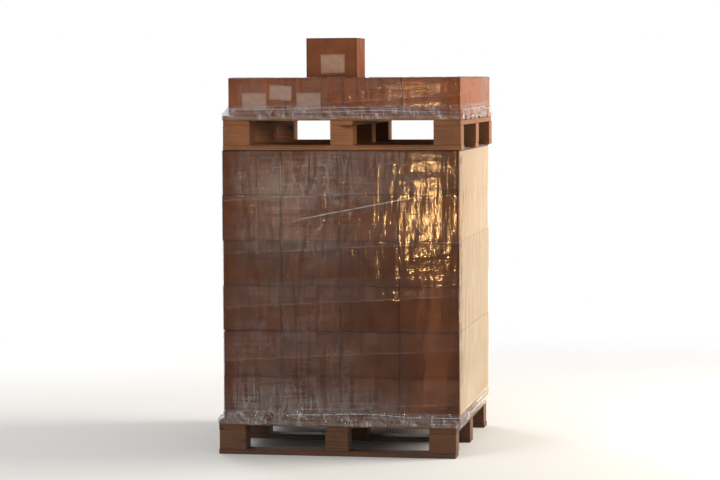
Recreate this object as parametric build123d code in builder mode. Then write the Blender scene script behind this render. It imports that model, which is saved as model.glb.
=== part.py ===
from build123d import *
import os

# Two wooden pallets of cartons, one standing on the other, each wound with stretch film.
# X runs along the front, Y from the front to the back, Z up. The origin is on the floor,
# under the middle of the stack. All sizes are in millimetres.

# Pallet: a square four-way block pallet, the same for both loads
pallet_length = 1100.0
pallet_depth = 1100.0
board_t = 22.0
block_h = 90.0
block_d = 100.0
outer_block_w = 125.0
middle_block_w = 105.0
edge_board_w = 120.0
inner_board_w = 100.0
inner_board_count = 5
runner_chamfer = 8.0
runner_chamfer_margin = 20.0

# Main load: layers of cartons, each layer a few millimetres of X and Y out of true. The
# cartons fill the pallet up to a margin on each side, with a little air between them.
main_margin_x = 5.5
main_margin_y = 13.0
carton_h = 207.0
across_count = 4
deep_count = 3
carton_gap = 3.0
carton_edge = 3.0
layer_shifts = ((0, 0), (1.5, -1), (-1, 1.5), (2, 0.5), (-1.5, -1.5), (0.5, 2))

# Upper load: one layer of lower cartons, as many to a layer
flat_margin_x = 17.5
flat_margin_y = 16.0
flat_carton_h = 172.0

# The carton that stands loose on top, set back from the front of the layer under it
top_carton_w = 232.0
top_carton_d = 212.0
top_carton_h = 180.0
top_carton_x = -42.0
top_carton_set_back = 60.0

# The slot between the two top flaps of a carton, as deep as its board is thick
flap_t = 4.0
flap_seam_w = 2.0

# Stretch film, thickened to a wall that can be handled. It lies a little off the cartons,
# folds in over their top edge, and spreads out at the foot to hang over the deck.
film_t = 1.0
film_gap = 0.3
film_flare_h = 45.0
film_hem_drop = 16.0
main_fold_in = 75.0
flat_fold_in = 40.0
fold_bow = 0.45

# The two loads don't stand quite square over each other
lower_pallet_x = -14.0
main_load_x = 3.0
upper_pallet_x = 14.0
flat_load_x = 22.0

# Heights that follow from the sizes above
pallet_h = 3 * board_t + block_h
main_top_z = pallet_h + len(layer_shifts) * carton_h
upper_pallet_z = main_top_z + film_t
flat_load_z = upper_pallet_z + pallet_h
flat_top_z = flat_load_z + flat_carton_h

parts_folder = "parts"
os.makedirs(parts_folder, exist_ok=True)


def save(label, part):
    part.label = label
    export_step(part, f"{parts_folder}/{label}.step")


# Pallets


def block_columns(centre_x):
    """X and width of the three columns of blocks, and of the stringer boards on them."""
    reach = (pallet_length - outer_block_w) / 2
    return (
        (centre_x - reach, outer_block_w),
        (centre_x, middle_block_w),
        (centre_x + reach, outer_block_w),
    )


def block_rows():
    """Y of the three rows of blocks, and of the bottom boards under them."""
    reach = (pallet_depth - block_d) / 2
    return (-reach, 0, reach)


def deck_rows():
    """Y and width of each deck board: a wide one at either edge, and even gaps."""
    open_d = pallet_depth - 2 * edge_board_w - inner_board_count * inner_board_w
    pitch = inner_board_w + open_d / (inner_board_count + 1)
    first = -pitch * (inner_board_count - 1) / 2
    edge = (pallet_depth - edge_board_w) / 2
    inner = [(first + n * pitch, inner_board_w) for n in range(inner_board_count)]
    return [(-edge, edge_board_w), *inner, (edge, edge_board_w)]


def build_pallet(name, base_z, centre_x):
    block_z = base_z + board_t
    stringer_z = block_z + block_h
    deck_z = stringer_z + board_t
    columns = block_columns(centre_x)

    # Each bottom board loses its upper edges between the blocks, where a truck's wheels roll
    with BuildPart() as bottom_boards:
        with BuildSketch(Plane.XY.offset(base_z)):
            with Locations(*[(centre_x, y) for y in block_rows()]):
                Rectangle(pallet_length, block_d)
        extrude(amount=board_t)
        for (left_x, left_w), (right_x, right_w) in zip(columns, columns[1:]):
            bay_start = left_x + left_w / 2 + runner_chamfer_margin
            bay_end = right_x - right_w / 2 - runner_chamfer_margin
            with BuildSketch(Plane.YZ.offset(bay_start)):
                for y in block_rows():
                    with Locations((y - block_d / 2, block_z), (y + block_d / 2, block_z)):
                        RegularPolygon(runner_chamfer, 4, rotation=0)
            extrude(amount=bay_end - bay_start, mode=Mode.SUBTRACT)
    save(f"{name}_bottom_boards", bottom_boards.part)

    with BuildPart() as blocks:
        with BuildSketch(Plane.XY.offset(block_z)):
            for x, width in columns:
                with Locations(*[(x, y) for y in block_rows()]):
                    Rectangle(width, block_d)
        extrude(amount=block_h)
    save(f"{name}_blocks", blocks.part)

    with BuildPart() as stringer_boards:
        with BuildSketch(Plane.XY.offset(stringer_z)):
            for x, width in columns:
                with Locations((x, 0)):
                    Rectangle(width, pallet_depth)
        extrude(amount=board_t)
    save(f"{name}_stringer_boards", stringer_boards.part)

    with BuildPart() as deck_boards:
        with BuildSketch(Plane.XY.offset(deck_z)):
            for y, width in deck_rows():
                with Locations((centre_x, y)):
                    Rectangle(pallet_length, width)
        extrude(amount=board_t)
    save(f"{name}_deck_boards", deck_boards.part)


# Cartons


def layer_size(margin_x, margin_y):
    """Overall X and Y of one layer of cartons."""
    return (pallet_length - 2 * margin_x, pallet_depth - 2 * margin_y)


def build_layer(label, base_z, centre, size, height, seams):
    width = (size[0] - (across_count - 1) * carton_gap) / across_count
    depth = (size[1] - (deep_count - 1) * carton_gap) / deep_count
    grid = (width + carton_gap, depth + carton_gap, across_count, deep_count)
    with BuildPart() as layer:
        with BuildSketch(Plane.XY.offset(base_z)) as outlines:
            with Locations(centre), GridLocations(*grid):
                Rectangle(width, depth)
            chamfer(outlines.vertices(), carton_edge)
        extrude(amount=height)
        if seams:
            with BuildSketch(Plane.XY.offset(base_z + height)):
                with Locations(centre), GridLocations(*grid):
                    Rectangle(flap_seam_w, depth)
            extrude(amount=-flap_t, mode=Mode.SUBTRACT)
    save(label, layer.part)


# Stretch film


class Outline:
    """A rectangle seen from above, by its low and high X and Y."""

    def __init__(self, centre, size, grow=0.0):
        self.low = [c - s / 2 - grow for c, s in zip(centre, size)]
        self.high = [c + s / 2 + grow for c, s in zip(centre, size)]

    def around(self, other):
        """The smallest rectangle that holds both."""
        both = Outline((0, 0), (0, 0))
        both.low = [min(a, b) for a, b in zip(self.low, other.low)]
        both.high = [max(a, b) for a, b in zip(self.high, other.high)]
        return both

    def draw(self, grow, radius):
        width, depth = (h - l + 2 * grow for l, h in zip(self.low, self.high))
        middle = [(l + h) / 2 for l, h in zip(self.low, self.high)]
        with Locations(tuple(middle)):
            RectangleRounded(width, depth, radius)


def film_body(load, foot, deck_z, top_z, grow):
    """What the film closes round, grown outwards by the given amount: its corners are as
    round as a carton's at the load, and sharp where they pass the corners of the deck."""
    flare_z = deck_z + film_flare_h
    with BuildPart() as body:
        with BuildSketch(Plane.XY.offset(flare_z)):
            load.draw(grow, carton_edge + grow)
        extrude(amount=top_z - flare_z)
        with BuildSketch(Plane.XY.offset(flare_z)):
            load.draw(grow, carton_edge + grow)
        with BuildSketch(Plane.XY.offset(deck_z)):
            foot.draw(grow, grow)
        loft(ruled=True)
        with BuildSketch(Plane.XY.offset(deck_z)):
            foot.draw(grow, grow)
        extrude(amount=-film_hem_drop)
    return body.part


def build_wrap(label, load, deck, deck_z, top_z, fold_in):
    foot = load.around(deck)
    inner = film_body(load, foot, deck_z, top_z, film_gap)
    outer = film_body(load, foot, deck_z, top_z + film_t, film_gap + film_t)
    with BuildPart() as wrap:
        add(outer)
        add(inner, mode=Mode.SUBTRACT)
        # The fold's free edge bows out between the corners, where the film gathers
        left, front = (low + fold_in for low in load.low)
        right, back = (high - fold_in for high in load.high)
        bow = fold_in * fold_bow
        middle_x, middle_y = (left + right) / 2, (front + back) / 2
        with BuildSketch(Plane.XY.offset(top_z)):
            with BuildLine():
                ThreePointArc((left, front), (middle_x, front - bow), (right, front))
                ThreePointArc((right, front), (right + bow, middle_y), (right, back))
                ThreePointArc((right, back), (middle_x, back + bow), (left, back))
                ThreePointArc((left, back), (left - bow, middle_y), (left, front))
            make_face()
        extrude(amount=film_t, mode=Mode.SUBTRACT)
    save(label, wrap.part)


# The lower pallet and its load
build_pallet("lower", 0, lower_pallet_x)
main_load_size = layer_size(main_margin_x, main_margin_y)
for number, (shift_x, shift_y) in enumerate(layer_shifts):
    build_layer(
        f"carton_layer_{number + 1}",
        pallet_h + number * carton_h,
        (main_load_x + shift_x, shift_y),
        main_load_size,
        carton_h,
        seams=number == len(layer_shifts) - 1,
    )
widest_shift = max(abs(shift) for layer in layer_shifts for shift in layer)
build_wrap(
    "lower_wrap",
    Outline((main_load_x, 0), main_load_size, grow=widest_shift),
    Outline((lower_pallet_x, 0), (pallet_length, pallet_depth)),
    pallet_h,
    main_top_z,
    main_fold_in,
)

# The upper pallet and its load
build_pallet("upper", upper_pallet_z, upper_pallet_x)
flat_load_size = layer_size(flat_margin_x, flat_margin_y)
build_layer(
    "upper_carton_layer",
    flat_load_z,
    (flat_load_x, 0),
    flat_load_size,
    flat_carton_h,
    seams=True,
)
build_wrap(
    "upper_wrap",
    Outline((flat_load_x, 0), flat_load_size),
    Outline((upper_pallet_x, 0), (pallet_length, pallet_depth)),
    flat_load_z,
    flat_top_z,
    flat_fold_in,
)

# The loose carton
top_carton_y = (top_carton_d - flat_load_size[1]) / 2 + top_carton_set_back
with BuildPart() as top_carton:
    with BuildSketch(Plane.XY.offset(flat_top_z)) as outline:
        with Locations((top_carton_x, top_carton_y)):
            Rectangle(top_carton_w, top_carton_d)
        chamfer(outline.vertices(), carton_edge)
    extrude(amount=top_carton_h)
    with BuildSketch(Plane.XY.offset(flat_top_z + top_carton_h)):
        with Locations((top_carton_x, top_carton_y)):
            Rectangle(top_carton_w, flap_seam_w)
    extrude(amount=-flap_t, mode=Mode.SUBTRACT)
save("top_carton", top_carton.part)
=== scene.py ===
import bpy
import bmesh
import math
import random
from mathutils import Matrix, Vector, noise


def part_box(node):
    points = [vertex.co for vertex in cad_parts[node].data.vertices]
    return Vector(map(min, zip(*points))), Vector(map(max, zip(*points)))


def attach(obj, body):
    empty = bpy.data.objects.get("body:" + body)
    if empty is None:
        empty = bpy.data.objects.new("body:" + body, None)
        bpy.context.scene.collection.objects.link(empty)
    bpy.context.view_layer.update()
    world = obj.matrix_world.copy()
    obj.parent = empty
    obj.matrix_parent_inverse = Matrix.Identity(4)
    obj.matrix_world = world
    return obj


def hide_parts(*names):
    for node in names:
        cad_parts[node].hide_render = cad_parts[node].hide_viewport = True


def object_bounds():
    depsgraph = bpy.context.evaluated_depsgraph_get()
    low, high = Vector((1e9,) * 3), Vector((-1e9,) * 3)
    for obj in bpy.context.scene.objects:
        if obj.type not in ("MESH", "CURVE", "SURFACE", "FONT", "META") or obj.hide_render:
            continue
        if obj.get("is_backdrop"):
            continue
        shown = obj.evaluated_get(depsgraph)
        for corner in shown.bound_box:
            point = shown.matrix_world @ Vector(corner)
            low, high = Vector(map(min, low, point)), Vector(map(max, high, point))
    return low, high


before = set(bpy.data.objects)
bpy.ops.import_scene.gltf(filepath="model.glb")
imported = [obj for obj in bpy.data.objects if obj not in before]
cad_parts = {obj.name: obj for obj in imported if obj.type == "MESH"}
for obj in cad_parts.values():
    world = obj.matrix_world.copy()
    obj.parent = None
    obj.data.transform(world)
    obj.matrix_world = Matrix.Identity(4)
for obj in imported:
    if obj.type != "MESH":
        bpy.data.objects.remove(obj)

cad_low, cad_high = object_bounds()

# A pallet of cartons wound in stretch film, with a second pallet of one wrapped layer and a
# loose carton on top of it. Metres, in the frame of the CAD nodes: X along the front, Z up.
MM = 0.001
BODY = "root"
SHARP = math.radians(40)    # edges that turn more than this are rounded
HAIR = 0.1 * MM             # slack when places are compared

# Pallet timber
PALLET_SHADE_AND_AGE = {"lower": 0.35, "upper": 0.84}    # how far the wood keeps its colour; the lower pallet is darkened by painted shade as well as by dirt
ARRIS = 2.4 * MM            # rounding of a sawn edge that has been knocked about
OUT_OF_LINE = 2.5 * MM      # how far a board is nailed out of place
BOARD_CLEAR = 4 * MM        # what presses on the film reaches this far past its own edge
BOARD_STEP = 55 * MM        # spacing of the cuts that let a board's edges run unevenly
EDGE_WANDER = 1.3 * MM      # how far a sawn edge strays from straight
RUNNER_CHAMFER = 8 * MM
RUNNER_CHAMFER_MARGIN = 20 * MM
NAIL_R = 3.6 * MM
NAIL_H = 0.8 * MM
NAIL_PROUD = 0.2 * MM
NAIL_INSET = 26 * MM        # from the block's sides to a nail
NAIL_STRAY = 6 * MM         # how far a nail may be from there

# Cartons
FOLD_R = 2.2 * MM           # rounding of a creased board edge
CRUSHED_R = 6.5 * MM        # the same where a layer has slumped on the one under it
CRUSHED_SIDE = {"carton_layer_2": 1, "carton_layer_3": -1}    # its top or its bottom edges
WORN_EDGE = 10 * MM         # how far from a fold the board is rubbed dark
LAYER_PAINTED_LIGHT = {"carton_layer_5": 1.35, "carton_layer_6": 1.35}    # the top two layers are made lighter: painted light, as falls from above on the upper rows
TAPE_TONE = {"main": 0.58, "flat": 1.2, "top": 1.2}    # tape is chosen to match the board
SPREAD = 0.9 * MM           # how far a full carton's sides spread at its edges
BULGE = 0.6 * MM            # how far its panel stands out at the middle
FULLEST = SPREAD + BULGE
SEAM_W = 2.4 * MM
SEAM_DEPTH = 3.0 * MM
TAPE_W = 48 * MM
TAPE_T = 0.12 * MM
TAPE_TAIL = 55 * MM         # how far a strip of tape runs down an end panel
TAPE_LIFT = 0.25 * MM
TAPE_STRAY = 2 * MM         # how far a strip lies off the middle of its seam

# Paper labels on the front panels: width and height, and where they sit
LABEL_T = 0.25 * MM
FLAT_LABEL_SIZE = (113 * MM, 82 * MM)
FLAT_LABEL_DROP = 22 * MM   # how far below the middle of its panel
FLAT_LABELS = ((-12 * MM, 0.79), (-26 * MM, 0.76))    # shift along X, and tone
LOOSE_SHEET_SIZE = (105 * MM, 68 * MM)
LOOSE_SHEET_AT = (-268 * MM, 1659 * MM)
LOOSE_SHEET_OFF = 0.35 * MM
LOOSE_SHEET_TURN = math.radians(-4)
LOOSE_SHEET_TONE = 0.83
TOP_LABEL_SIZE = (112 * MM, 91 * MM)
TOP_LABEL_SHIFT = 6 * MM
TOP_LABEL_DROP = 29 * MM
TOP_LABEL_TURN = math.radians(1)
TOP_LABEL_CURL = 20 * MM
TOP_LABEL_TONE = 0.8

# Stretch film. Each load's own: how far it folds in over the top edge, what its noise starts
# from, how milky it is, and how deep its slanting drapes are in mm.
FILM = {
    "lower": {"fold_in": 72 * MM, "seed": 3.0, "milky": 0.042, "draped": 0.4},
    "upper": {"fold_in": 38 * MM, "seed": 43.0, "milky": 0.022, "draped": 1.4},
}
FILM_OFF = 0.6 * MM         # how far the film lies off the fullest panel
FILM_CORNER_R = 4 * MM
FILM_STEP = 9 * MM
FOLD_STEP = 8 * MM
CORNER_STEPS = 4
FILM_MIRROR = 0.18          # less than all of its reflection, which a white studio would fill
FILM_PITCH = 0.245          # climb of the film at each turn round the load
OVERLAP = 0.45              # share of a turn that lies over the turn before
OVERLAP_HAZE = 0.014
EDGE_SHARE = 0.014          # share of a turn that its rolled edge takes up
EDGE_HAZE = 0.09
TIGHT_CORNER = 90 * MM      # the film lies close this far from a corner and from the top edge
TIGHT_TOP = 50 * MM
CLEAR_CORNER = (20 * MM, 70 * MM)    # from a corner: where it starts to be milky, and is so
EXTRA_TURNS_DROP = (550 * MM, 400 * MM)    # below the top: where more turns start, and all lie
EXTRA_TURNS_FOOT = 200 * MM                # how far up from its foot it has more turns too
PUCKER = {"front": 0.42, "other sides": 0.8}    # height of its upright folds, in mm
CREASE, WAVE, STRETCH_LINE = 0.2, 0.5, 0.32     # and of its smaller forms
STEEP = 2.6                 # how sharply a crease falls off from its crest
FOLD_OFF = 0.25 * MM        # how far the fold lies off the cartons' top
FOLD_PRESSED = 0.5 * MM     # how high it ruffles under what stands on it, and where it is free
FOLD_FREE = 5 * MM
FOLD_HAZE = 0.1
SKIRT_H = 40 * MM           # from the deck up to where the film meets the load's sides
SKIRT_LAP = 12 * MM         # how far the skirt goes up over the sleeve
SKIRT_STEP = 6 * MM
SKIRT_ROWS, HEM_ROWS = 12, 3
SKIRT_HAZE = (0.03, 0.09, 0.1)    # all over, where it is gathered, and on its pleats
SKIRT_OFF = 1.2 * MM        # how far its foot stands off the deck's edge
SKIRT_LEAST = 0.8 * MM      # how far it stands off between its pleats
PLEAT, PLEAT_CREASE = 4.6 * MM, 1.2 * MM
HEM_LEAST, HEM_MORE = 9 * MM, 12 * MM    # how far the hem hangs over the deck boards
ROPE_HEIGHTS = (14 * MM, 30 * MM)        # of the gathered strands, above the deck
ROPE_R = 2.2 * MM
ROPE_OFF, ROPE_ROLL, ROPE_RISE = 5.5 * MM, 1.5 * MM, 16 * MM    # off the load, and how it strays
ROPE_STEP = 10 * MM
ROPE_HAZE = 0.16
FILM_EDGE_R = 1.6 * MM      # the film's edge rolls up into a thin bright line
FILM_EDGE_STEP = 12 * MM
FILM_EDGE_HAZE = 0.5
LAST_TURN_START = 0.33      # run of the last turn's edge, from the front left corner
LAST_TURN_END = 1.0
LAST_TURN_Z = 1.074
LAST_TURN_SLOPE = 0.202
LAST_TURN_OFF = 2.6 * MM
LAST_TURN_STRAY = (7 * MM, 1.5 * MM)    # up and down, slowly and in small ripples
LAST_TURN_SEED = 5.0

# Noise that shapes the film: how wide and tall its waves are in metres, how far they lean
# along for each metre up, how far they climb for each metre along, and what is added to the seed
FIELDS = {
    "pucker": (0.055, 0.4, -0.12, 0, 0),
    "crease": (0.035, 0.2, 0.3, 0, 6),
    "wave": (0.2, 0.05, 0, 0, 1),
    "drape": (0.7, 0.07, 0, -0.16, 8),
    "stretch line": (0.3, 0.032, 0, -0.05, 17),
    "fold's reach": (0.14, 1, 0, 0, 11),
    "fold's ruffle": (0.03, 0.1, 0, 0, 13),
    "fold's haze": (0.05, 0.2, 0, 0, 15),
    "looseness": (0.6, 1.2, 0, 0, 151.5),
    "milky patch": (0.22, 0.13, 0, 0, 2),
    "hem": (0.07, 1, 0, 0, 7),
    "pleat": (0.03, 2.2, 0.05, 0, 3),
    "pleat's crease": (0.012, 1.2, -0.05, 0, 5),
    "gathering": (0.5, 1, 0, 0, 4),
    "rope's roll": (0.1, 1, 0, 0, 0),
    "rope's rise": (0.35, 1, 0, 0, 20),
    "rope's bulk": (0.6, 1, 0, 0, 31),
}

# Lamps: place, target, width and height in metres, watts and colour
SOFTBOXES = {
    "side_softbox": ((4.6, 1.0, 2.4), (0.3, 0, 0.9), (2.4, 2.4), 320, "#FFF5E8"),
    "front_softbox": ((-3.0, -5.4, 3.4), (0, 0, 0.9), (2.2, 2.2), 110, "#FFFFFF"),
    "back_softbox": ((-3.4, 4.6, 3.0), (0, 0, 0.9), (2.2, 2.2), 130, "#FFFFFF"),
}
# These show only as glints in the film, where the photograph has its warm and pale ones
GLINTS = {
    "front_glint": ((-0.44, -6.5, 0.79), (0.42, -0.54, 1.11), (0.17, 0.5), 75, "#FFC47C"),
    "flat_glint": ((-0.5, -6.5, 1.655), (0.40, -0.54, 1.68), (0.35, 0.14), 19, "#FFC074"),
    "foot_glint": ((0.23, -2.06, 0.38), (0.45, -0.56, 0.54), (0.13, 0.7), 2.2, "#FF9559"),
    "left_glint": ((-1.52, -6.5, 0.93), (-0.25, -0.54, 1.2), (0.16, 0.22), 7.5, "#FFE0B8"),
    "side_glint": ((0.69, 0.95, 0.70), (0.56, 0, 0.8), (0.27, 1.41), 6.2, "#FFE6B4"),
    "upper_side_glint": ((0.69, 0.95, 1.66), (0.56, 0, 1.66), (0.27, 0.26), 0.14, "#FFDDA0"),
}
# Rings of them, so that the film has some from every side: angles in degrees, how far away
# and how high they are, how high they point, width and height, and watts
GLINT_RINGS = {
    "corner_glint": ((-45, 45, 135, 225), 6.5, 0.9, 0.9, (0.4, 1.2), 60),
    "low_glint": ((-70, -45, 8, 45, 98, 135, 188, 225), 3.25, 0.35, 0.8, (0.35, 0.6), 24),
}
WORLD_LIGHT = 0.56          # strength of the white world on matt surfaces

FLOOR_R = 40.0
FLOOR_FADE = (1.6, 5.0)     # how far out the floor starts to turn white, and is all white
CAMERA_AT = Vector((2.035, -11.326, 1.711))
CAMERA_AIM = Vector((0.0, 0.0, 0.955))
CAMERA_LENS, CAMERA_SENSOR = 121.0, 36.0    # in mm, as a camera's maker gives them
CAMERA_ROLL = math.radians(-0.3)


# Materials

def linear(hex_colour):
    """An sRGB hex colour as the linear RGBA that shaders take."""
    parts = [int(hex_colour[i:i + 2], 16) / 255 for i in (1, 3, 5)]
    return (*[c / 12.92 if c <= 0.04045 else ((c + 0.055) / 1.055) ** 2.4 for c in parts], 1.0)


def add(tree, kind, inputs=None, stops=(), **settings):
    """Adds a shader node, sets its properties, and sets or links its inputs by name or number.
    A node given as an input is linked by its first output. A colour ramp is given its stops as
    positions and hex colours."""
    made = tree.nodes.new("ShaderNode" + kind)
    for key, value in settings.items():
        setattr(made, key, value)
    for _ in range(len(stops) - 2):
        made.color_ramp.elements.new(0.5)
    for number, (place, colour) in enumerate(stops):
        made.color_ramp.elements[number].position = place
        made.color_ramp.elements[number].color = linear(colour)
    for key, value in (inputs or {}).items():
        if isinstance(value, bpy.types.Node):
            value = value.outputs[0]
        if isinstance(value, bpy.types.NodeSocket):
            tree.links.new(value, made.inputs[key])
        else:
            made.inputs[key].default_value = value
    return made


def new_material(name):
    made = bpy.data.materials.new(name)
    made.use_nodes = True
    made.node_tree.nodes.clear()
    return made, made.node_tree


def toned(tree, colour):
    """The colour, lighter or darker by the tone that each plank, carton or sheet has, painted light
    and shade included.
    """
    tone = add(tree, "Attribute", attribute_name="tone").outputs["Fac"]
    return add(tree, "VectorMath", {0: colour, "Scale": tone}, operation="SCALE")


def sawn_pine():
    """Softwood pallet timber, rough sawn and aged: matt, with growth rings, fibre streaks,
    a few knots and saw marks, and dirt that greys it."""
    material, tree = new_material("sawn_pine")
    grain = add(tree, "Attribute", attribute_name="grain").outputs["Vector"]
    # Growth rings about 7 mm apart round the tree's heart, which wanders along the board
    ring_scale = (2 * math.pi / 20) / (7 * MM)
    drawn_out = add(tree, "Mapping", {"Vector": grain, "Scale": (0.6, 7, 7)})
    wander = add(tree, "TexNoise", {"Vector": drawn_out, "Scale": 1.0, "Detail": 2.0})
    strayed = add(tree, "VectorMath",
                  {0: wander.outputs["Color"], 1: (0.0, 0.09, 0.09)}, operation="MULTIPLY")
    wood = add(tree, "VectorMath", {0: grain, 1: strayed}, operation="ADD")
    rings = add(tree, "TexWave",
                {"Vector": wood, "Scale": ring_scale, "Distortion": 4.0, "Detail": 2.0,
                 "Detail Scale": 0.25}, wave_type="RINGS", rings_direction="X")
    # Fibres: streaks about 1.5 mm wide and 150 mm long
    long_fibre = add(tree, "Mapping", {"Vector": grain, "Scale": (7, 650, 650)})
    fibre = add(tree, "TexNoise",
                {"Vector": long_fibre, "Scale": 1.0, "Detail": 4.0, "Roughness": 0.6})
    # Knots about 25 mm across, a few to a board
    knot_place = add(tree, "Mapping", {"Vector": grain, "Scale": (3.2, 9, 9)})
    knot = add(tree, "TexVoronoi", {"Vector": knot_place, "Scale": 1.0}, feature="F1")
    knot_core = add(tree, "MapRange",
                    {"Value": knot.outputs["Distance"], "From Min": 0.07, "From Max": 0.16,
                     "To Min": 1.0, "To Max": 0.0})
    # Dirt in patches about 150 mm wide
    dirt = add(tree, "TexNoise", {"Vector": grain, "Scale": 7.0, "Detail": 5.0})
    rings_colour = add(tree, "ValToRGB", {"Fac": rings.outputs["Fac"]},
                       stops=((0.0, "#A46A3C"), (0.6, "#985E36"), (1.0, "#82502C")))
    fibre_shade = add(tree, "MapRange", {"Value": fibre, "From Min": 0.3, "From Max": 0.7,
                                         "To Min": 0.7, "To Max": 1.15})
    streaked = add(tree, "VectorMath", {0: rings_colour, "Scale": fibre_shade}, operation="SCALE")
    knotted = add(tree, "Mix", {"Factor": knot_core, "A": streaked,
                                "B": linear("#4A2814")}, data_type="RGBA")
    dirt_share = add(tree, "MapRange", {"Value": dirt, "From Min": 0.42, "From Max": 0.75,
                                        "To Min": 0.0, "To Max": 0.6})
    dirty = add(tree, "Mix", {"Factor": dirt_share, "A": knotted.outputs["Result"],
                              "B": linear("#573F2C")}, data_type="RGBA")
    # Saw marks across the board, about 4 mm apart
    marks = add(tree, "TexWave",
                {"Vector": grain, "Scale": (2 * math.pi / 20) / (4 * MM), "Distortion": 3.0,
                 "Detail": 2.0}, wave_type="BANDS", bands_direction="X")
    height = add(tree, "Math", {0: marks.outputs["Fac"], 1: 0.25, 2: fibre},
                 operation="MULTIPLY_ADD")
    bump = add(tree, "Bump", {"Height": height, "Strength": 0.5, "Distance": 1.2 * MM})
    roughness = add(tree, "MapRange", {"Value": fibre, "To Min": 0.72, "To Max": 0.92})
    surface = add(tree, "BsdfPrincipled",
                  {"Base Color": toned(tree, dirty.outputs["Result"]), "Roughness": roughness,
                   "IOR": 1.5, "Specular IOR Level": 0.25, "Normal": bump})
    add(tree, "OutputMaterial", {"Surface": surface})
    return material


def kraft_board(name, pale, dark, soil, sheen):
    """Unbleached kraft liner on corrugated board, pressed and uncoated: matt brown paper,
    mottled by its fibres, with the flutes just showing as upright shading."""
    material, tree = new_material(name)
    panel = add(tree, "UVMap", uv_map="panel").outputs["UV"]
    edge = add(tree, "Attribute", attribute_name="edge").outputs["Fac"]
    # Fibre mottling, drawn 4 mm wide so that it shows
    mottle = add(tree, "TexNoise", {"Vector": panel, "Scale": 240.0, "Detail": 4.0})
    cloud = add(tree, "TexNoise", {"Vector": panel, "Scale": 9.0, "Detail": 3.0})
    # Flutes run up the panel. They are 7 mm apart, and show two by two.
    upright = add(tree, "Mapping", {"Vector": panel, "Scale": (75, 2.5, 1)})
    flute = add(tree, "TexNoise", {"Vector": upright, "Scale": 1.0, "Detail": 2.0})
    mixed = add(tree, "Math", {0: mottle, 1: 0.3, 2: cloud}, operation="MULTIPLY_ADD")
    fluted = add(tree, "Math", {0: flute, 1: 0.2, 2: mixed}, operation="MULTIPLY_ADD")
    share = add(tree, "MapRange", {"Value": fluted, "From Min": 0.42, "From Max": 1.08})
    paper = add(tree, "ValToRGB", {"Fac": share}, stops=((0.0, dark), (1.0, pale)))
    # Handling soils the folds
    rub = add(tree, "Math", {0: edge, 1: cloud}, operation="MULTIPLY")
    soiled = add(tree, "Mix", {"Factor": rub, "A": paper, "B": linear(soil)}, data_type="RGBA")
    height = add(tree, "Math", {0: mottle, 1: 0.15, 2: flute}, operation="MULTIPLY_ADD")
    bump = add(tree, "Bump", {"Height": height, "Strength": 0.35, "Distance": 0.5 * MM})
    surface = add(tree, "BsdfPrincipled",
                  {"Base Color": toned(tree, soiled.outputs["Result"]), "Roughness": 0.78,
                   "IOR": 1.5, "Specular IOR Level": sheen, "Normal": bump})
    add(tree, "OutputMaterial", {"Surface": surface})
    return material


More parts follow.
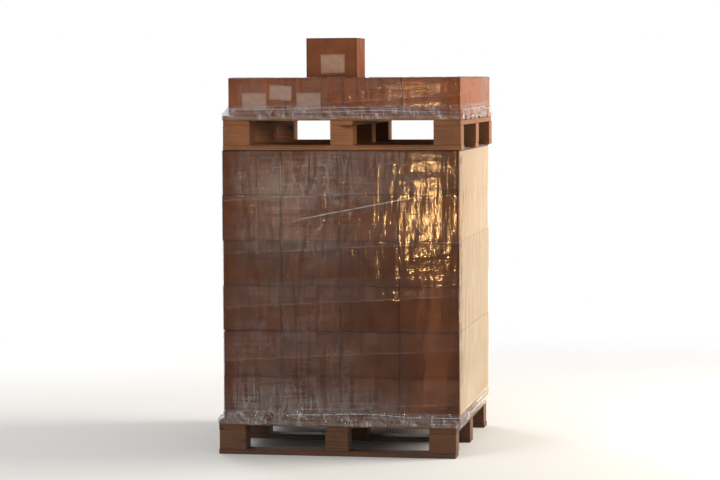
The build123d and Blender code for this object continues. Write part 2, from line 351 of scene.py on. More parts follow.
def stretch_film(name, crease, bands):
    """Blown polyethylene stretch film, several turns of it: clear and glossy, with long
    stretch lines round the load, upright creases, and a milky haze where it doubles."""
    material, tree = new_material(name)
    wind = add(tree, "UVMap", uv_map="wind").outputs["UV"]
    doubled = add(tree, "Attribute", attribute_name="doubled").outputs["Fac"]
    # Stretch lines about 9 mm high and 250 mm long
    along = add(tree, "Mapping", {"Vector": wind, "Scale": (4, 110, 1)})
    streak = add(tree, "TexNoise", {"Vector": along, "Scale": 1.0, "Detail": 2.0})
    # Upright creases about 22 mm apart and 250 mm long
    upright = add(tree, "Mapping", {"Vector": wind, "Scale": (46, 4, 1)})
    pleat = add(tree, "TexNoise",
                {"Vector": upright, "Scale": 1.0, "Detail": 2.0, "Distortion": 0.5})
    # Slack patches about 60 mm across, where the film isn't drawn tight
    slack = add(tree, "TexNoise", {"Vector": wind, "Scale": 16.0, "Detail": 2.0, "Distortion": 1.2})
    lines = add(tree, "Math", {0: streak, 1: 0.8, 2: pleat}, operation="MULTIPLY_ADD")
    height = add(tree, "Math", {0: slack, 1: 1.6, 2: lines}, operation="MULTIPLY_ADD")
    bump = add(tree, "Bump", {"Height": height, "Strength": crease, "Distance": 4.0 * MM})
    # Haze gathers on the stretch lines and the creases
    lined = add(tree, "Math", {0: streak, 1: pleat}, operation="ADD")
    shaped = add(tree, "MapRange", {"Value": lined, "From Min": 0.78, "From Max": 1.3,
                                    "To Min": 0.35, "To Max": 2.4})
    haze = add(tree, "Math", {0: doubled, 1: shaped}, operation="MULTIPLY")
    # Fine white lines where it has creased, upright and along the winding
    for field, strength in ((pleat, 1.8), (streak, 1.2)):
        gap = add(tree, "Math", {0: field, 1: 0.5, 2: 0.028}, operation="COMPARE")
        near = add(tree, "Math", {0: gap, 1: doubled}, operation="MULTIPLY")
        haze = add(tree, "Math", {0: near, 1: strength, 2: haze}, operation="MULTIPLY_ADD")
    if bands:
        # Each turn of film overlaps the last. Its edges stray by a few millimetres.
        start, climb = bands
        place = add(tree, "SeparateXYZ", {"Vector": wind})
        fallen = add(tree, "Math", {0: place.outputs["X"], 1: -climb, 2: place.outputs["Y"]},
                     operation="MULTIPLY_ADD")
        wavy = add(tree, "Math", {0: slack, 1: 0.02, 2: fallen}, operation="MULTIPLY_ADD")
        turns = add(tree, "Math", {0: wavy, 1: 1 / FILM_PITCH, 2: -start / FILM_PITCH},
                    operation="MULTIPLY_ADD")
        part = add(tree, "Math", {0: turns}, operation="FRACT")
        for share, more in ((OVERLAP, OVERLAP_HAZE), (EDGE_SHARE, EDGE_HAZE)):
            inside = add(tree, "Math", {0: part, 1: share}, operation="LESS_THAN")
            haze = add(tree, "Math", {0: inside, 1: more, 2: haze}, operation="MULTIPLY_ADD")
    milk = add(tree, "BsdfDiffuse", {"Color": linear("#CCC9C8"), "Normal": bump})
    clear = add(tree, "BsdfTransparent", {"Color": linear("#F8F8FA")})
    gloss = add(tree, "BsdfAnisotropic",
                {"Color": linear("#FFFFFF"), "Roughness": 0.07, "Normal": bump})
    body = add(tree, "MixShader", {0: haze, 1: clear, 2: milk})
    fresnel = add(tree, "Fresnel", {"IOR": 1.5, "Normal": bump})
    mirrored = add(tree, "Math", {0: fresnel, 1: FILM_MIRROR}, operation="MULTIPLY", use_clamp=True)
    surface = add(tree, "MixShader", {0: mirrored, 1: body, 2: gloss})
    add(tree, "OutputMaterial", {"Surface": surface})
    return material


def label_paper():
    """Uncoated label stock, printed with nothing: buff, matt, and grubby in spots about 30 mm
    across."""
    material, tree = new_material("label_paper")
    panel = add(tree, "UVMap", uv_map="panel").outputs["UV"]
    grime = add(tree, "TexNoise", {"Vector": panel, "Scale": 30.0, "Detail": 4.0})
    colour = add(tree, "ValToRGB", {"Fac": grime}, stops=((0.3, "#966C50"), (0.7, "#AC8264")))
    surface = add(tree, "BsdfPrincipled",
                  {"Base Color": toned(tree, colour), "Roughness": 0.6, "IOR": 1.5})
    add(tree, "OutputMaterial", {"Surface": surface})
    return material


def packing_tape():
    """Polypropylene packing tape with brown glue: smooth, with a low sheen, and glue that lies
    in streaks about 4 mm wide."""
    material, tree = new_material("packing_tape")
    panel = add(tree, "UVMap", uv_map="panel").outputs["UV"]
    along = add(tree, "Mapping", {"Vector": panel, "Scale": (260, 12, 1)})
    streak = add(tree, "TexNoise", {"Vector": along, "Scale": 1.0, "Detail": 3.0})
    colour = add(tree, "ValToRGB", {"Fac": streak}, stops=((0.3, "#6A3819"), (0.7, "#78421E")))
    # It wrinkles where it was rolled down in a hurry, about every 17 mm
    wrinkle = add(tree, "TexNoise",
                  {"Vector": panel, "Scale": 60.0, "Detail": 3.0, "Distortion": 0.8})
    bump = add(tree, "Bump", {"Height": wrinkle, "Strength": 0.4, "Distance": 1.0 * MM})
    surface = add(tree, "BsdfPrincipled",
                  {"Base Color": toned(tree, colour), "Roughness": 0.6, "IOR": 1.5,
                   "Specular IOR Level": 0.12, "Normal": bump})
    add(tree, "OutputMaterial", {"Surface": surface})
    return material


def nail_steel():
    """Bright wire nails gone dull, with a first bloom of rust in spots of 2 or 3 mm."""
    material, tree = new_material("nail_steel")
    place = add(tree, "TexCoord").outputs["Object"]
    rust = add(tree, "TexNoise", {"Vector": place, "Scale": 400.0, "Detail": 3.0})
    colour = add(tree, "ValToRGB", {"Fac": rust}, stops=((0.35, "#6E655C"), (0.65, "#6A4630")))
    surface = add(tree, "BsdfPrincipled", {"Base Color": colour, "Metallic": 0.8, "Roughness": 0.5})
    add(tree, "OutputMaterial", {"Surface": surface})
    return material


PINE = sawn_pine()
MAIN_KRAFT = kraft_board("kraft_board_main", "#64371A", "#43230E", "#301A0D", 0.05)
FLAT_KRAFT = kraft_board("kraft_board_flat", "#964D1C", "#6E3610", "#46240E", 0.05)
TOP_KRAFT = kraft_board("kraft_board_top", "#8A4E2E", "#6A3A20", "#4E2916", 0.14)
GATHERED_FILM = stretch_film("stretch_film_gathered", 0.6, None)
PAPER = label_paper()
TAPE = packing_tape()
NAIL = nail_steel()


# Helpers for meshes

def solids_of(node):
    """The (low, high) corners of each solid in a CAD node, from a merged copy of its mesh."""
    bm = bmesh.new()
    bm.from_mesh(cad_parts[node].data)
    bmesh.ops.remove_doubles(bm, verts=bm.verts, dist=0.01 * MM)
    unseen = set(bm.verts)
    boxes = []
    while unseen:
        island = [unseen.pop()]
        for vert in island:
            for edge in vert.link_edges:
                other = edge.other_vert(vert)
                if other in unseen:
                    unseen.discard(other)
                    island.append(other)
        low = Vector([min(v.co[i] for v in island) for i in range(3)])
        high = Vector([max(v.co[i] for v in island) for i in range(3)])
        boxes.append((low, high))
    bm.free()
    return sorted(boxes, key=lambda box: (round(box[0].y, 3), round(box[0].x, 3)))


def new_object(name, data):
    made = bpy.data.objects.new(name, data)
    bpy.context.collection.objects.link(made)
    return made


def finish_piece(name, bm, material, nodes=(), shaded_smooth=True):
    """Turns a bmesh into a piece that rides on the body and stands for the CAD nodes."""
    mesh = bpy.data.meshes.new(name)
    bm.normal_update()
    bm.to_mesh(mesh)
    bm.free()
    if shaded_smooth:
        mesh.shade_smooth()
    mesh.materials.append(material)
    piece = new_object(name, mesh)
    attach(piece, BODY)
    if nodes:
        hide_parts(*nodes)


def add_box(bm, low, high):
    """A box as new geometry in bm."""
    made = bmesh.ops.create_cube(bm, size=1.0)
    bmesh.ops.scale(bm, vec=high - low, verts=made["verts"])
    bmesh.ops.translate(bm, vec=(low + high) / 2, verts=made["verts"])


def axis_vector(axis):
    return Vector([float(i == axis) for i in range(3)])


def cut_through(bm, place, normal):
    """Cuts every face that the plane meets, and keeps both sides."""
    bmesh.ops.bisect_plane(bm, geom=bm.verts[:] + bm.edges[:] + bm.faces[:], plane_co=place,
                           plane_no=normal)


def sharp_edges(bm):
    return [e for e in bm.edges if len(e.link_faces) == 2 and e.calc_face_angle() > SHARP]


def bevel(bm, edges, offset, segments, profile=0.5):
    bmesh.ops.bevel(bm, geom=edges, offset=offset, segments=segments, profile=profile,
                    affect="EDGES", material=-1)


def mark(bm, name, value):
    """Gives every vertex the same value of an attribute that a material reads."""
    layer = bm.verts.layers.float.new(name)
    for vert in bm.verts:
        vert[layer] = value


def join_into(bm, part):
    """Copies the geometry of part, with its layers, to bm."""
    mesh = bpy.data.meshes.new("part")
    part.to_mesh(mesh)
    part.free()
    bm.from_mesh(mesh)
    bpy.data.meshes.remove(mesh)


# Pallet timber

def sawn_board(low, high, along, rng, shade_and_age, chamfer_bays=()):
    """One board or block as its own bmesh: rounded arrises, edges that wander a little, and
    grain coordinates measured from a heart that lies somewhere beside the board."""
    bm = bmesh.new()
    add_box(bm, low, high)
    size = high - low
    across = 1 - along
    cuts = max(1, round(size[along] / BOARD_STEP))
    axis = axis_vector(along)
    places = [low[along] + size[along] * n / cuts for n in range(1, cuts)]
    places += [end for bay in chamfer_bays for end in bay]
    for place in places:
        cut_through(bm, axis * place, axis)
    for start, end in chamfer_bays:
        rolled = [
            e for e in bm.edges
            if all(v.co.z > high.z - HAIR for v in e.verts)
            and all(start - HAIR < v.co[along] < end + HAIR for v in e.verts)
            and abs(e.verts[0].co[across] - e.verts[1].co[across]) < HAIR
            and e.calc_face_angle() > 1
        ]
        bevel(bm, rolled, RUNNER_CHAMFER, 1)
    bevel(bm, sharp_edges(bm), ARRIS, 2)
    middle = (low + high) / 2
    heart = Vector((rng.uniform(0, 20), rng.uniform(-0.09, 0.09), rng.uniform(0.02, 0.10)))
    # Tone of the board: on the lower pallet it is darkened by painted shade as well as by dirt
    tone = shade_and_age * rng.uniform(0.78, 1.2)
    mark(bm, "tone", tone)
    grain_layer = bm.verts.layers.float_vector.new("grain")
    seed = Vector((rng.uniform(0, 50), rng.uniform(0, 50), 0))
    for vert in bm.verts:
        place = vert.co - middle
        vert[grain_layer] = heart + Vector((place[along], place[across], place.z))
        side = max(-1.0, min(1.0, place[across] / (size[across] / 2)))
        stray = noise.noise(seed + Vector((vert.co[along] * 9, side * 3, 0)))
        vert.co[across] += side * EDGE_WANDER * (stray - 0.35)
    return bm


def build_pallet(prefix, shade_and_age, rng):
    blocks = solids_of(f"{prefix}_blocks")
    front_row = sorted(blocks[:3], key=lambda box: box[0].x)
    bays = [(left[1].x + RUNNER_CHAMFER_MARGIN, right[0].x - RUNNER_CHAMFER_MARGIN)
            for left, right in zip(front_row, front_row[1:])]
    for kind, along, chamfer_bays in (("bottom_boards", 0, bays), ("blocks", 0, ()),
                                      ("stringer_boards", 1, ()), ("deck_boards", 0, ())):
        node = f"{prefix}_{kind}"
        timber = bmesh.new()
        for low, high in solids_of(node):
            part = sawn_board(low, high, along, rng, shade_and_age, chamfer_bays)
            shift = [rng.uniform(-1, 1) * OUT_OF_LINE for _ in range(2)]
            bmesh.ops.translate(part, vec=(*shift, 0), verts=part.verts)
            join_into(timber, part)
        finish_piece(f"{node}_timber", timber, PINE, nodes=(node,),
                     shaded_smooth=False)


def build_nails(prefix, rng):
    """Nail heads under the bottom boards: four into each block, driven almost flush."""
    bm = bmesh.new()
    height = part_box(f"{prefix}_bottom_boards")[0][2] + NAIL_H / 2 - NAIL_PROUD
    for low, high in solids_of(f"{prefix}_blocks"):
        for x in (low.x + NAIL_INSET, high.x - NAIL_INSET):
            for y in (low.y + NAIL_INSET, high.y - NAIL_INSET):
                jitter = Vector([rng.uniform(-1, 1) * NAIL_STRAY for _ in range(2)] + [0])
                head = bmesh.ops.create_cone(bm, cap_ends=True, segments=12, radius1=NAIL_R,
                                             radius2=NAIL_R * 0.85, depth=NAIL_H)
                bmesh.ops.translate(bm, vec=Vector((x, y, height)) + jitter,
                                    verts=head["verts"])
    finish_piece(f"{prefix}_pallet_nails", bm, NAIL, shaded_smooth=False)


# Cartons

def carton(low, high, rng, seam_along, crushed_side, painted_light):
    """One full carton as its own bmesh: creased edges, panels that bulge, a slot between the
    top flaps, and a panel UV in metres whose U runs across the flutes."""
    bm = bmesh.new()
    spread = Vector((SPREAD, SPREAD, 0))
    low, high = low - spread, high + spread
    add_box(bm, low, high)
    middle = (low + high) / 2
    half = (high - low) / 2
    for axis in range(3):
        normal = axis_vector(axis)
        worn = half[axis] - WORN_EDGE
        for offset in (-worn, -worn * 0.5, 0, worn * 0.5, worn):
            cut_through(bm, middle + normal * offset, normal)
    swell = [rng.uniform(0.3, 1.0) * BULGE for _ in range(3)]
    for vert in bm.verts:
        part = [(vert.co[i] - middle[i]) / half[i] for i in range(3)]
        for axis in range(2):
            if abs(part[axis]) > 0.999:
                a, b = [part[i] for i in range(3) if i != axis]
                vert.co[axis] += math.copysign(swell[axis], part[axis]) * (1 - a * a) * (1 - b * b)
    if crushed_side:
        slumped = [e for e in sharp_edges(bm)
                   if all((v.co.z - middle.z) * crushed_side > half.z - HAIR for v in e.verts)]
        bevel(bm, slumped, CRUSHED_R, 3)
    bevel(bm, sharp_edges(bm), FOLD_R, 3, profile=0.6)
    if seam_along is not None:
        across = 1 - seam_along
        normal = axis_vector(across)
        for side in (-1, 1):
            cut_through(bm, normal * (middle[across] + side * SEAM_W / 2), normal)
        slot_faces = [f for f in bm.faces if f.normal.z > 0.9
                      and abs(f.calc_center_median()[across] - middle[across]) < SEAM_W / 2]
        sunk = bmesh.ops.extrude_face_region(bm, geom=slot_faces)
        moved = [g for g in sunk["geom"] if isinstance(g, bmesh.types.BMVert)]
        bmesh.ops.delete(bm, geom=slot_faces, context="FACES")
        bmesh.ops.translate(bm, vec=(0, 0, -SEAM_DEPTH), verts=moved)
    bm.normal_update()
    # Tone: random, times the painted light of its layer
    mark(bm, "tone", painted_light * rng.uniform(0.9, 1.08))
    edge_layer = bm.verts.layers.float.new("edge")
    panel_layer = bm.loops.layers.uv.new("panel")
    shift = Vector((rng.uniform(0, 20), rng.uniform(0, 20)))
    for vert in bm.verts:
        near = sorted(half[i] - abs(vert.co[i] - middle[i]) for i in range(3))
        vert[edge_layer] = max(0.0, 1.0 - near[1] / WORN_EDGE)
    for face in bm.faces:
        axis = max(range(3), key=lambda i: abs(face.normal[i]))
        u, v = {0: (1, 2), 1: (0, 2), 2: (1, 0)}[axis]
        for loop in face.loops:
            loop[panel_layer].uv = Vector((loop.vert.co[u], loop.vert.co[v])) + shift
    return bm


def build_cartons(node, material, rng, seam_along=None):
    bm = bmesh.new()
    for low, high in solids_of(node):
        join_into(bm, carton(low, high, rng, seam_along, CRUSHED_SIDE.get(node, 0),
                             LAYER_PAINTED_LIGHT.get(node, 1.0)))
    finish_piece(f"{node}_board", bm, material, nodes=(node,))


def tape_strip(bm, low, high, along, rng):
    """A strip of tape over a carton's top seam, from one end panel to the other."""
    across = 1 - along
    middle = (low[across] + high[across]) / 2 + rng.uniform(-1, 1) * TAPE_STRAY
    top = high.z + TAPE_LIFT
    near, far = low[along] - FULLEST, high[along] + FULLEST
    tails = [TAPE_TAIL * rng.uniform(0.85, 1.1) for _ in range(2)]
    outline = [(near, top - tails[0]), (near, top - FOLD_R), (near + FOLD_R, top),
               (far - FOLD_R, top), (far, top - FOLD_R), (far, top - tails[1])]
    verts = []
    for run, height in outline:
        point = Vector((0, 0, height))
        point[along] = run
        point[across] = middle - TAPE_W / 2
        verts.append(bm.verts.new(point))
    edges = [bm.edges.new(pair) for pair in zip(verts, verts[1:])]
    made = bmesh.ops.extrude_edge_only(bm, edges=edges)
    moved = [g for g in made["geom"] if isinstance(g, bmesh.types.BMVert)]
    bmesh.ops.translate(bm, vec=axis_vector(across) * TAPE_W, verts=moved)


def build_tape(node, along, rng, tone):
    bm = bmesh.new()
    for low, high in solids_of(node):
        tape_strip(bm, low, high, along, rng)
    bmesh.ops.recalc_face_normals(bm, faces=bm.faces)
    bmesh.ops.solidify(bm, geom=bm.faces[:], thickness=-TAPE_T)
    mark(bm, "tone", tone)
    panel_layer = bm.loops.layers.uv.new("panel")
    across = 1 - along
    for face in bm.faces:
        for loop in face.loops:
            place = loop.vert.co
            loop[panel_layer].uv = (place[across], place[along] + place.z)
    finish_piece(f"{node}_tape", bm, TAPE, shaded_smooth=False)


def build_label(name, centre, size, y, turn=0.0, curl=0.0, tone=1.0):
    """A paper label on a front panel, its lower corners lifted by curl."""
    bm = bmesh.new()
    panel_layer = bm.loops.layers.uv.new("panel")
    bmesh.ops.create_grid(bm, x_segments=12, y_segments=8, size=0.5)
    mark(bm, "tone", tone)
    cos_turn, sin_turn = math.cos(turn), math.sin(turn)
    for face in bm.faces:
        for loop in face.loops:
            loop[panel_layer].uv = loop.vert.co.xy * size[0]
    for vert in bm.verts:
        x, z = vert.co.x * size[0], vert.co.y * size[1]
        corner = max(0.0, abs(vert.co.x) + max(0.0, -vert.co.y) - 0.75)
        vert.co = Vector((centre[0] + x * cos_turn - z * sin_turn,
                          y - curl * corner * corner,
                          centre[1] + x * sin_turn + z * cos_turn))
    bm.normal_update()
    bmesh.ops.solidify(bm, geom=bm.faces[:], thickness=LABEL_T)
    bmesh.ops.recalc_face_normals(bm, faces=bm.faces)
    finish_piece(name, bm, PAPER)


# Stretch film

class Wound:
    """The rounded rectangle that film follows round a load, as a path with noise along it."""

    def __init__(self, low, high, seed=0.0):
        self.low, self.high, self.radius = low, high, FILM_CORNER_R
        radius = self.radius
        self.straight = [high[0] - low[0] - 2 * radius, high[1] - low[1] - 2 * radius] * 2
        self.arc = radius * math.pi / 2
        self.length = sum(self.straight) + 4 * self.arc
        self.seed = seed

    def stations(self, step):
        """Distances round the path, close together in the corners."""
        out = []
        start = 0.0
        for run in self.straight:
            count = max(1, round(run / step))
            out += [start + run * n / count for n in range(count)]
            start += run
            out += [start + self.arc * n / CORNER_STEPS for n in range(CORNER_STEPS)]
            start += self.arc
        return out + [self.length]

    def at(self, distance):
        """Point and outward direction there. It starts at the front left, towards +X."""
        distance = distance % self.length
        corners = ((self.high[0], self.low[1]), (self.high[0], self.high[1]),
                   (self.low[0], self.high[1]), (self.low[0], self.low[1]))
        for side, run in enumerate(self.straight):
            facing = math.radians(-90 + 90 * side)
            out = Vector((math.cos(facing), math.sin(facing), 0))
            ahead = Vector((-out.y, out.x, 0))
            corner = Vector((*corners[side], 0))
            hub = corner - (out + ahead) * self.radius
            if distance <= run:
                return hub + out * self.radius - ahead * (run - distance), out
            distance -= run
            if distance <= self.arc:
                turned = facing + distance / self.radius
                away = Vector((math.cos(turned), math.sin(turned), 0))
                return hub + away * self.radius, away
            distance -= self.arc
        return self.at(0.0)    # a hair past the end, by rounding

    def from_corner(self, distance):
        """How far along the path the nearest corner is."""
        distance = distance % self.length
        for run in self.straight:
            if distance <= run:
                return min(distance, run - distance)
            distance -= run + self.arc
            if distance <= 0:
                return 0.0
        return 0.0

    def ripple(self, field, distance, height=0.0, more=0):
        """Smooth noise from -1 to 1 that closes after one turn."""
        wide, tall, lean, climb, offset = FIELDS[field]
        turn = 2 * math.pi * (distance + lean * height) / self.length
        radius = self.length / (2 * math.pi * wide)
        return noise.noise(Vector((math.cos(turn) * radius + self.seed + offset + more,
                                   math.sin(turn) * radius, (height + climb * distance) / tall)))

    def ridge(self, field, distance, height=0.0):
        """Creases: 1 along a crest, falling off sharply to either side."""
        return 1 - min(1.0, STEEP * abs(self.ripple(field, distance, height)))


def smooth(value, low, high):
    """Rises from 0 at low to 1 at high, level at both ends."""
    part = max(0.0, min(1.0, (value - low) / (high - low)))
    return part * part * (3 - 2 * part)


def film_surface(name, stations, rows, place, haze, material, node):
    """A closed band of film: a grid whose columns go round the load and whose rows go up it,
    both in metres. place(distance, row) gives a point, and haze(distance, row) how milky the
    film is there."""
    bm = bmesh.new()
    wind_layer = bm.loops.layers.uv.new("wind")
    doubled_layer = bm.verts.layers.float.new("doubled")
    columns = len(stations)
    made = bmesh.ops.create_grid(bm, x_segments=columns - 1, y_segments=len(rows) - 1, size=0.5)
    spot = {}
    for vert in made["verts"]:
        column = round((vert.co.x + 0.5) * (columns - 1))
        row = round((vert.co.y + 0.5) * (len(rows) - 1))
        spot[vert] = (stations[column], rows[row])
    for face in bm.faces:
        for loop in face.loops:
            loop[wind_layer].uv = spot[loop.vert]
    for vert, (distance, row) in spot.items():
        vert[doubled_layer] = haze(distance, row)
        vert.co = place(distance, row)
    bmesh.ops.remove_doubles(bm, verts=bm.verts, dist=0.001 * MM)
    finish_piece(name, bm, material, nodes=(node,))


def build_sleeve(prefix, sleeve, flare_z, top_z, stood_on):
    """The film round the sides of a load and folded in over its top edge. It lies flat under
    the boards of what stands on it, and ruffles between them."""
    film = FILM[prefix]
    fold_in = film["fold_in"]
    height_rows = max(2, round((top_z - flare_z) / FILM_STEP))
    rows = [flare_z + (top_z - flare_z) * n / height_rows for n in range(height_rows + 1)]
    fold_rows = max(3, round(fold_in / FOLD_STEP))
    rows += [top_z + fold_in * (n + 1) / fold_rows for n in range(fold_rows)]
    fold_z = top_z + HAIR    # rows higher than this lie in the fold

    def place(distance, row):
        point, out = sleeve.at(distance)
        if row <= fold_z:
            # Drawn tight at the corners and at the top edge, slack in between
            slack = (smooth(sleeve.from_corner(distance), 0, TIGHT_CORNER)
                     * smooth(top_z - row, 0, TIGHT_TOP))
            front = distance % sleeve.length < sleeve.straight[0]
            relief = (PUCKER["front" if front else "other sides"]
                      * sleeve.ridge("pucker", distance, row)
                      + CREASE * sleeve.ridge("crease", distance, row) ** 2
                      + WAVE * (0.5 + 0.5 * sleeve.ripple("wave", distance, row))
                      + STRETCH_LINE * sleeve.ridge("stretch line", distance, row)
                      + film["draped"] * sleeve.ridge("drape", distance, row))
            point = point + out * (slack * MM * relief)
            point.z = row
            return point
        part = (row - top_z) / fold_in
        reach = fold_in * part * (0.85 + 0.4 * sleeve.ripple("fold's reach", distance))
        point = point - out * reach
        lift = 0.5 + 0.5 * sleeve.ripple("fold's ruffle", distance, part * 0.05)
        free = FOLD_PRESSED if stood_on(point) else FOLD_FREE * smooth(part, 0, 0.3)
        point.z = top_z + FOLD_OFF + free * lift
        return point

    def haze(distance, row):
        if row > fold_z:
            return FOLD_HAZE * (1 + sleeve.ridge("fold's haze", distance, row))
        # Milky where the film is loose, and where more turns were wound: high up and at the foot
        loose = 0.5 + 1.6 * sleeve.ripple("looseness", distance, row)
        patch = sleeve.ripple("milky patch", distance, row)
        high_up = smooth(row, *[top_z - drop for drop in EXTRA_TURNS_DROP])
        low_down = 1 - smooth(row, flare_z, flare_z + EXTRA_TURNS_FOOT)
        turns = 0.55 + 0.45 * high_up + 1.2 * low_down
        tight = smooth(sleeve.from_corner(distance), *CLEAR_CORNER)
        return (film["milky"] * turns * max(0.05, min(1.0, loose)) * (1 + 0.5 * patch)
                * (0.2 + 0.8 * tight))

    climb = FILM_PITCH / sleeve.length
    material = stretch_film(f"stretch_film_{prefix}", 0.1, (flare_z, climb))
    film_surface(f"{prefix}_film_sleeve", sleeve.stations(FILM_STEP), rows, place, haze,
                 material, f"{prefix}_wrap")


def build_skirt(prefix, sleeve, deck_low, deck_high):
    """The foot of the film: out to the edge of the deck and down over it, in close pleats
    that end in a torn hem."""
    deck_z = deck_high[2]
    foot = Wound([min(sleeve.low[i], deck_low[i] - SKIRT_OFF) for i in range(2)],
                 [max(sleeve.high[i], deck_high[i] + SKIRT_OFF) for i in range(2)])
    tall = SKIRT_H + SKIRT_LAP
    rows = [tall * n / SKIRT_ROWS for n in range(-HEM_ROWS, SKIRT_ROWS + 1)]

    def place(distance, row):
        upper, out = sleeve.at(distance)
        lower, _ = foot.at(distance * foot.length / sleeve.length)
        hem = HEM_LEAST + HEM_MORE * (0.5 + 0.5 * sleeve.ripple("hem", distance))
        height = row if row > 0 else hem * row / -rows[0]
        point = lower.lerp(upper, smooth(height, 4 * MM, tall - 10 * MM))
        spread = row / tall
        free = smooth(tall - height, 0, 0.5 * tall)
        pleat = sleeve.ridge("pleat", distance, spread)
        crease = sleeve.ripple("pleat's crease", distance, spread)
        point = point + out * (SKIRT_LEAST + free * (PLEAT * pleat + PLEAT_CREASE * (crease + 1)))
        point.z = deck_z + height
        return point

    even, more, on_pleats = SKIRT_HAZE

    def haze(distance, row):
        pleat = sleeve.ridge("pleat", distance, row / tall)
        gathered = 0.5 + 0.5 * sleeve.ripple("gathering", distance)
        fade = smooth(tall - row, 0, 0.35 * tall)
        return (even + more * gathered * gathered + on_pleats * pleat * pleat) * fade

    film_surface(f"{prefix}_film_skirt", sleeve.stations(SKIRT_STEP), rows, place, haze,
                 GATHERED_FILM, f"{prefix}_wrap")


def film_line(name, points, radius, haze):
    """A rolled edge or rope of film: a thin tube through the points, as a mesh."""
    curve = bpy.data.curves.new(name, "CURVE")
    curve.dimensions = "3D"
    curve.bevel_depth = radius
    curve.bevel_resolution = 1
    spline = curve.splines.new("POLY")
    spline.points.add(len(points) - 1)
    for control, (place, size) in zip(spline.points, points):
        control.co = (*place, 1.0)
        control.radius = size
    holder = new_object(name, curve)
    mesh = bpy.data.meshes.new_from_object(holder)
    bpy.data.objects.remove(holder)
    bm = bmesh.new()
    bm.from_mesh(mesh)
    bpy.data.meshes.remove(mesh)
    bmesh.ops.remove_doubles(bm, verts=bm.verts, dist=0.01 * MM)
    mark(bm, "doubled", haze)
    wind_layer = bm.loops.layers.uv.new("wind")
    for face in bm.faces:
        for loop in face.loops:
            place = loop.vert.co
            loop[wind_layer].uv = (place.x + place.y, place.z)
    finish_piece(name, bm, GATHERED_FILM)


def build_last_turn(sleeve):
    """The loose end of the last turn, rolled up into a line that climbs across the front and
    lies flat at the right. It strays by a few millimetres."""
    points = []
    for n in range(int((LAST_TURN_END - LAST_TURN_START) / FILM_EDGE_STEP)):
        distance = LAST_TURN_START + n * FILM_EDGE_STEP
        point, out = sleeve.at(distance)
        stray, fine, thick = [noise.noise(Vector((distance * often, LAST_TURN_SEED + more, 0)))
                              for often, more in ((1.3, 0), (11, 4), (4, 2))]
        taper = (smooth(distance, LAST_TURN_START, LAST_TURN_START + 0.15)
                 * smooth(LAST_TURN_END - distance, 0, 0.15))
        point = point + out * LAST_TURN_OFF
        climb = LAST_TURN_SLOPE * (distance - LAST_TURN_START)
        point.z = LAST_TURN_Z + climb + LAST_TURN_STRAY[0] * stray + LAST_TURN_STRAY[1] * fine
        points.append((point, (1.0 + 0.6 * thick) * (0.15 + 0.85 * taper)))
    film_line("lower_film_last_turn", points, FILM_EDGE_R, FILM_EDGE_HAZE)


def build_foot_rope(prefix, sleeve, deck_z):
    """Strands where the first turns of film were gathered into a rope round the foot."""
    count = int(sleeve.length / ROPE_STEP)
    for strand, height in enumerate(ROPE_HEIGHTS):
        points = []
        for n in range(count + 1):
            distance = (n % count) * ROPE_STEP
            point, out = sleeve.at(distance)
            roll = sleeve.ripple("rope's roll", distance, more=strand * 3)
            rise = sleeve.ripple("rope's rise", distance, more=strand * 5)
            bulk = smooth(sleeve.ripple("rope's bulk", distance, more=strand), -0.3, 0.3)
            point = point + out * (ROPE_OFF + ROPE_ROLL * roll)
            point.z = deck_z + height + ROPE_RISE * rise
            points.append((point, (0.12 + 1.1 * bulk) * (1.0 + 0.5 * roll)))
        film_line(f"{prefix}_film_rope_{strand + 1}", points, ROPE_R, ROPE_HAZE)


def build_film(prefix, load_nodes, stood_on):
    """All the film round one load. Returns the path that it follows."""
    load_boxes = [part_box(node) for node in load_nodes]
    off = FULLEST + FILM_OFF
    sleeve = Wound([min(box[0][i] for box in load_boxes) - off for i in range(2)],
                   [max(box[1][i] for box in load_boxes) + off for i in range(2)],
                   FILM[prefix]["seed"])
    top_z = max(box[1][2] for box in load_boxes)
    deck_low, deck_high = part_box(f"{prefix}_deck_boards")
    build_sleeve(prefix, sleeve, deck_high[2] + SKIRT_H, top_z, stood_on)
    build_skirt(prefix, sleeve, deck_low, deck_high)
    build_foot_rope(prefix, sleeve, deck_high[2])
    return sleeve


# Build the object

rng = random.Random(7)
for prefix, shade_and_age in PALLET_SHADE_AND_AGE.items():
    build_pallet(prefix, shade_and_age, rng)
    build_nails(prefix, rng)

LAYERS = [f"carton_layer_{n}" for n in range(1, 7)]
for node in LAYERS:
    build_cartons(node, MAIN_KRAFT, rng, seam_along=1 if node == LAYERS[-1] else None)
    # The tape on the top two layers carries their painted light too
    build_tape(node, 1, rng, TAPE_TONE["main"] * LAYER_PAINTED_LIGHT.get(node, 1.0))
build_cartons("upper_carton_layer", FLAT_KRAFT, rng, seam_along=1)
build_tape("upper_carton_layer", 1, rng, TAPE_TONE["flat"])
build_cartons("top_carton", TOP_KRAFT, rng, seam_along=0)
build_tape("top_carton", 0, rng, TAPE_TONE["top"])

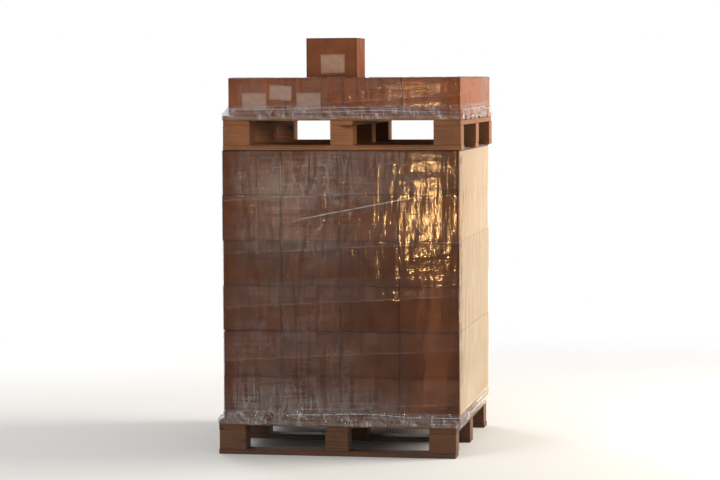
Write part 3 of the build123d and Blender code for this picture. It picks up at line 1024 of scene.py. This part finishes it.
flat_boxes = solids_of("upper_carton_layer")
flat_y = flat_boxes[0][0].y - FULLEST
for number, (shift, tone) in enumerate(FLAT_LABELS):
    low, high = flat_boxes[number]
    centre = ((low.x + high.x) / 2 + shift, (low.z + high.z) / 2 - FLAT_LABEL_DROP)
    build_label(f"flat_label_{number + 1}", centre, FLAT_LABEL_SIZE, flat_y, tone=tone)
build_label("loose_sheet", LOOSE_SHEET_AT, LOOSE_SHEET_SIZE, flat_y - LOOSE_SHEET_OFF,
            turn=LOOSE_SHEET_TURN, tone=LOOSE_SHEET_TONE)
(top_low, top_high), = solids_of("top_carton")
top_centre = ((top_low.x + top_high.x) / 2 + TOP_LABEL_SHIFT,
              (top_low.z + top_high.z) / 2 - TOP_LABEL_DROP)
build_label("top_label", top_centre, TOP_LABEL_SIZE, top_low.y - FULLEST,
            turn=TOP_LABEL_TURN, curl=TOP_LABEL_CURL, tone=TOP_LABEL_TONE)

bottom_boards = solids_of("upper_bottom_boards")


def under_upper_pallet(point):
    return any(low.y - BOARD_CLEAR < point.y < high.y + BOARD_CLEAR
               for low, high in bottom_boards)


def under_top_carton(point):
    return (top_low.y - BOARD_CLEAR < point.y < top_high.y
            and top_low.x < point.x < top_high.x)


lower_sleeve = build_film("lower", LAYERS, under_upper_pallet)
build_film("upper", ["upper_carton_layer"], under_top_carton)
build_last_turn(lower_sleeve)


# Floor, light and camera

def build_floor():
    """A pale floor that keeps the object's shadow and turns to plain white further out."""
    material, tree = new_material("pale_floor")
    place = add(tree, "TexCoord").outputs["Object"]
    away = add(tree, "VectorMath", {0: place}, operation="LENGTH")
    far = add(tree, "MapRange", {"Value": away.outputs["Value"], "From Min": FLOOR_FADE[0],
                                 "From Max": FLOOR_FADE[1]}, interpolation_type="SMOOTHSTEP")
    rays = add(tree, "LightPath")
    seen = add(tree, "Math", {0: rays.outputs["Is Camera Ray"], 1: rays.outputs["Is Glossy Ray"]},
               operation="MAXIMUM")
    share = add(tree, "Math", {0: seen, 1: far}, operation="MULTIPLY")
    matt = add(tree, "BsdfDiffuse", {"Color": linear("#E4E3E0")})
    white = add(tree, "Emission", {"Color": linear("#FFFFFF"), "Strength": 1.0})
    mixed = add(tree, "MixShader", {0: share, 1: matt, 2: white})
    add(tree, "OutputMaterial", {"Surface": mixed})
    bm = bmesh.new()
    bmesh.ops.create_circle(bm, cap_ends=True, segments=96, radius=FLOOR_R)
    mesh = bpy.data.meshes.new("floor")
    bm.to_mesh(mesh)
    bm.free()
    mesh.materials.append(material)
    new_object("floor", mesh)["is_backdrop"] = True


def build_world():
    """White to the camera and in reflections, and a softer even light on the object."""
    world = bpy.data.worlds.new("studio")
    bpy.context.scene.world = world
    world.use_nodes = True
    tree = world.node_tree
    tree.nodes.clear()
    rays = add(tree, "LightPath")
    shown = add(tree, "Math", {0: rays.outputs["Is Camera Ray"], 1: rays.outputs["Is Glossy Ray"]},
                operation="MAXIMUM")
    shown = add(tree, "Math", {0: shown, 1: rays.outputs["Is Transmission Ray"]},
                operation="MAXIMUM")
    strength = add(tree, "MapRange", {"Value": shown, "To Min": WORLD_LIGHT, "To Max": 1.0})
    sky = add(tree, "Background", {"Color": linear("#FFFFFF"), "Strength": strength})
    add(tree, "OutputWorld", {"Surface": sky})


def add_lamp(name, place, target, size, watts, colour="#FFFFFF", glint=True):
    """A softbox. One that only makes glints shows in reflections and lights nothing."""
    data = bpy.data.lights.new(name, "AREA")
    data.shape = "RECTANGLE"
    data.size, data.size_y = size
    data.energy = watts
    data.color = linear(colour)[:3]
    lamp = new_object(name, data)
    lamp.location = place
    lamp.rotation_euler = (Vector(target) - Vector(place)).to_track_quat("-Z", "Y").to_euler()
    lamp.visible_camera = False
    lamp.visible_diffuse = not glint


def build_camera():
    """Where the photograph was taken from, with a longer lens that fills the frame. It was
    held a little out of level."""
    data = bpy.data.cameras.new("camera")
    data.sensor_width = CAMERA_SENSOR
    data.lens = CAMERA_LENS
    camera = new_object("camera", data)
    camera.location = CAMERA_AT
    camera.rotation_euler = (CAMERA_AIM - CAMERA_AT).to_track_quat("-Z", "Y").to_euler()
    camera.rotation_euler.rotate_axis("Z", CAMERA_ROLL)
    bpy.context.scene.camera = camera


build_floor()
build_world()
for name, softbox in SOFTBOXES.items():
    add_lamp(name, *softbox, glint=False)
for name, glint in GLINTS.items():
    add_lamp(name, *glint)
for name, (angles, away, height, aimed_at, size, watts) in GLINT_RINGS.items():
    for number, angle in enumerate(angles):
        place = Vector((math.cos(math.radians(angle)) * away,
                        math.sin(math.radians(angle)) * away, height))
        add_lamp(f"{name}_{number + 1}", place, (0, 0, aimed_at), size, watts)
build_camera()
bpy.context.scene.view_settings.view_transform = "Standard"

low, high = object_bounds()
{"cad": [list(cad_low), list(cad_high)], "visual": [list(low), list(high)]}
